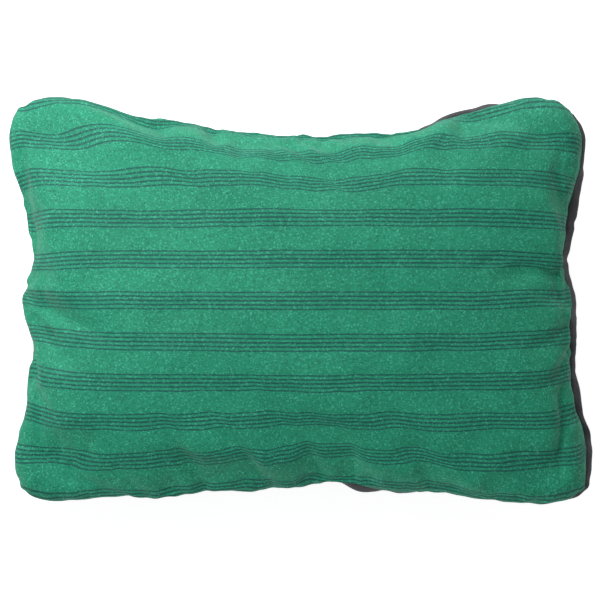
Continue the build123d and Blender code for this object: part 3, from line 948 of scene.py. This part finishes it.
def build_cord(name, path, around):
    arc = arc_length(path)
    angles = turn(around)
    profiles = []
    for twist in arc * BRAID_TWIST:
        height = np.maximum(np.sin(twist + BRAID_STRANDS * angles),
                            np.sin(twist - BRAID_STRANDS * angles))
        profiles.append(ring(CORD_RADIUS * (0.955 + 0.04 * height), angles))
    uv = tube_uv(arc, np.linspace(0, BRAID_UV_TURN, around, endpoint=False))
    return make_closed(name, *tube(path, *path_frames(path), profiles), uv)


def cord_points(x):
    return np.c_[x, np.full(len(x), CORD_Y), np.full(len(x), CORD_Z)]


build_hem()
finish_piece(build_cord("hem_cord_braided", hem_path(HEM_START_Y + 0.6, step=1.0), around=20),
             "cord", "stow_flap", "drawcord_hem_run")
tail = cord_points(np.arange(30.0, 268.01, 0.35))
finish_piece(build_cord("tail_cord_braided", tail, around=24),
             "cord", "drawcord_tail", "drawcord_tail")


def build_stitches(name, body, lines):
    """Thread stitches along lines, each given as points and an outward normal."""
    length, pitch, radius, stations = 2.6, 3.6, 0.22, 6
    angles = turn(6)
    arch = np.sin(np.linspace(0, math.pi, stations))
    profiles = [ring(size, angles) for size in radius * (0.35 + 0.65 * arch ** 0.6)]
    parts = []
    for points, normal in lines:
        arc = arc_length(points)
        for start in np.arange(0.5, arc[-1] - length, pitch):
            centres = interp_points(start + np.linspace(0, length, stations), arc, points)
            centres = centres + normal * (0.06 + 0.14 * arch)[:, None]
            tangents = unit(np.gradient(centres, axis=0))
            sides = unit(np.cross(normal, tangents))
            parts.append(tube(centres, sides, np.cross(tangents, sides), profiles))
    finish_piece(make_closed(name, *join(parts)), "thread", body)


def build_flap_stitching():
    """A row below and a row above the flap, just inside the hem."""
    down = np.array([0.0, 0.0, -1.0])
    lines = []
    for normal in (down, -down):
        line = hem_line - hem_sides * 5.3
        line[:, 2] = FLAP_Z + normal[2] * (FLAP_THICK / 2 + 0.03)
        lines.append((line, normal))
    build_stitches("flap_hem_stitching", "stow_flap", lines)


def build_bartacks():
    """Zigzags across both ends of the hem, four rows high."""
    strokes, width, radius = 16, 8.4, 0.42
    parts = []
    for end_x in (-HEM_X, HEM_X):
        zigzag = np.array([(end_x - width / 2 + width * k / strokes,
                            HEM_START_Y - 0.35 - (0.75 if k % 2 else -0.05), HEM_Z)
                           for k in range(strokes + 1)])
        fine = interp_points(np.linspace(0, strokes, 97), np.arange(strokes + 1), zigzag)
        for z in (-1.2, -0.4, 0.4, 1.2):
            row = fine + np.array([0, 0, z])
            parts.append(tube(row, *path_frames(row), [ring(radius, turn(8))] * len(row)))
    finish_piece(make_closed("hem_bartacks_zigzag", *join(parts)), "thread", "stow_flap",
                 "hem_bartacks")


build_flap_stitching()
build_bartacks()


# ------------------------------------------------------------------ casing of the cord's straight run
def build_casing():
    """Flattened cloth sleeve, tilted up towards -Y, and the stitching below its +Y edge."""
    tilt = math.radians(30.0)
    wide = np.array([0, -math.cos(tilt), math.sin(tilt)])
    thick = np.array([0, math.sin(tilt), math.cos(tilt)])
    x = np.arange(-136.0, 136.01, 1.7)
    line = cord_points(x)
    angles = turn(40)
    cos, sin = np.cos(angles), np.sin(angles)
    pinch = 0.5 * field(51, x, 0 * x, wave=9.0) + 0.3 * field(52, x, 0 * x, wave=30.0)
    outer, inner = [], []
    for i, centre in enumerate(line):
        radius = 2.55 + 0.10 * pinch[i] * np.sin(2 * angles + i * 0.25)
        across = 2.7 * np.clip(cos * 1.9, -1, 1) + radius * cos
        outer.append(centre + across[:, None] * wide + (radius * 1.02 * sin)[:, None] * thick)
        bore = 2.5 if centre[0] > 131.9 else 1.85  # wider at the +X mouth
        inner.append(centre + bore * (cos[:, None] * wide + sin[:, None] * thick))
    around, stations = len(angles), len(x)
    count = stations * around
    faces = [*grid_faces(stations, around, wrap=True),
             *grid_faces(stations, around, True, True, base=count)]
    last = count - around
    for j in range(around):
        k = (j + 1) % around
        faces += [(j, k, count + k, count + j),
                  (last + k, last + j, count + last + j, count + last + k)]
    uv = np.tile(strip_uv(x, angles * 4.0), (2, 1))
    ob = make_closed("cord_casing_cloth", np.concatenate(outer + inner), faces, uv)
    finish_piece(ob, "flap_weave", "root", "cord_casing")
    seam = line - 3.9 * wide - 2.15 * thick
    build_stitches("casing_stitching", "root", [(seam, -thick)])


def build_end_stop():
    """Moulded end of the cord: a turned shape with a faint parting line."""
    socket_rows = 4  # the first rows, without the parting line
    section = [  # x, radius
        (268.2, 1.55), (260.0, 1.55), (260.0, 2.5), (260.12, 2.62), (262.0, 3.05),
        (263.0, 3.04), (264.0, 3.1), (265.0, 3.25), (266.0, 3.46), (267.0, 3.71),
        (268.0, 3.96), (269.0, 4.2), (270.0, 4.41), (271.0, 4.55), (272.0, 4.61), (273.0, 4.6),
        (274.0, 4.48), (275.0, 4.22), (276.0, 3.7), (276.6, 3.1), (276.9, 2.3), (277.0, 1.2)]
    angles = turn(96)
    parting = 0.06 * bell(np.sin(angles), 0.06)
    profiles = [ring(radius + (parting if i >= socket_rows else 0), angles)
                for i, (_, radius) in enumerate(section)]
    centres = cord_points([x for x, _ in section])
    sides, ups = [np.tile(axis, (len(section), 1)) for axis in ([0.0, 1.0, 0.0], [0.0, 0.0, 1.0])]
    ob = make_closed("cord_end_stop_moulded", *tube(centres, sides, ups, profiles))
    finish_piece(ob, "black_plastic", "drawcord_tail", "cord_end_stop")


build_casing()
build_end_stop()

# ------------------------------------------------------------------ hard pieces keep the CAD shape
for node, slot in (("cord_eyelet", "eyelet_metal"), ("cord_lock_barrel", "black_plastic"),
                   ("cord_lock_plunger", "grey_plastic"), ("cord_lock_spring", "spring_steel")):
    finish_piece(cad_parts[node], slot, None)
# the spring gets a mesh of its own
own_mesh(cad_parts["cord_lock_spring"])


# ------------------------------------------------------------------ stage, light and camera
def build_floor():
    """White paper, clear when looked at from below."""
    half, z = 6000, -0.4
    corners = [(-half, -half, z), (half, -half, z), (half, half, z), (-half, half, z)]
    floor = make_object("floor", corners, [(0, 1, 2, 3)], smooth=False)
    paper = Material("floor_paper")
    paper.set(Base_Color=(0.80, 0.80, 0.80), Roughness=0.9, Emission_Color=(1.0, 1.0, 1.0),
              Emission_Strength=0.80, Specular_IOR_Level=0.1)
    clear = paper.node("BsdfTransparent")
    geometry = paper.node("NewGeometry")
    swap = paper.node("MixShader")
    sources = geometry.outputs["Backfacing"], paper.shader.outputs[0], clear.outputs[0]
    for source, target in zip(sources, swap.inputs):
        paper.put(source, target)
    paper.put(swap.outputs[0], paper.output.inputs[0])
    floor.data.materials.append(paper.material)
    floor.visible_glossy = False


def build_world():
    """A backdrop that is pale to the camera but adds only a little even light."""
    world = bpy.data.worlds.new("studio")
    scene.world = world
    world.use_nodes = True
    tree = world.node_tree
    background = tree.nodes["Background"]
    background.inputs[0].default_value = (1.0, 1.0, 1.0, 1.0)
    rays = tree.nodes.new("ShaderNodeLightPath")
    level = tree.nodes.new("ShaderNodeMapRange")
    level.inputs["To Min"].default_value = 0.20
    level.inputs["To Max"].default_value = 0.95
    tree.links.new(rays.outputs["Is Camera Ray"], level.inputs["Value"])
    tree.links.new(level.outputs[0], background.inputs[1])


def area(name, place, target, size, power, glossy=False):
    light = bpy.data.lights.new(name, "AREA")
    light.energy, light.size = power, size
    ob = bpy.data.objects.new(name, light)
    scene.collection.objects.link(ob)
    ob.location = place
    aim = Vector(target) - Vector(place)
    ob.rotation_euler = aim.to_track_quat("-Z", "Y").to_euler()
    ob.visible_camera = False
    ob.visible_glossy = glossy


def build_camera():
    """Looks straight down at the middle of the pillow."""
    lens = bpy.data.cameras.new("camera")
    camera = bpy.data.objects.new("camera", lens)
    scene.collection.objects.link(camera)
    scene.camera = camera
    lens.lens, lens.sensor_width = 100.0, 36.0
    camera.location = (0.0, 0.0, EYE_Z / 1000)


build_floor()
build_world()
area("key", place=(-0.70, 0.62, 0.92), target=(-0.12, 0.08, 0.05), size=0.45, power=12.2,
     glossy=True)
area("top fill", place=(0.40, 1.15, 0.45), target=(0.10, 0.15, 0.06), size=0.7, power=4.2,
     glossy=True)
area("low fill", place=(0.0, -1.25, 0.45), target=(0.0, -0.15, 0.06), size=0.7, power=2.4)
area("side fill", place=(1.2, -1.0, 1.9), target=(0.0, 0.0, 0.05), size=1.6, power=1.0)
build_camera()
scene.view_settings.view_transform = "Standard"
scene.view_settings.look = "None"
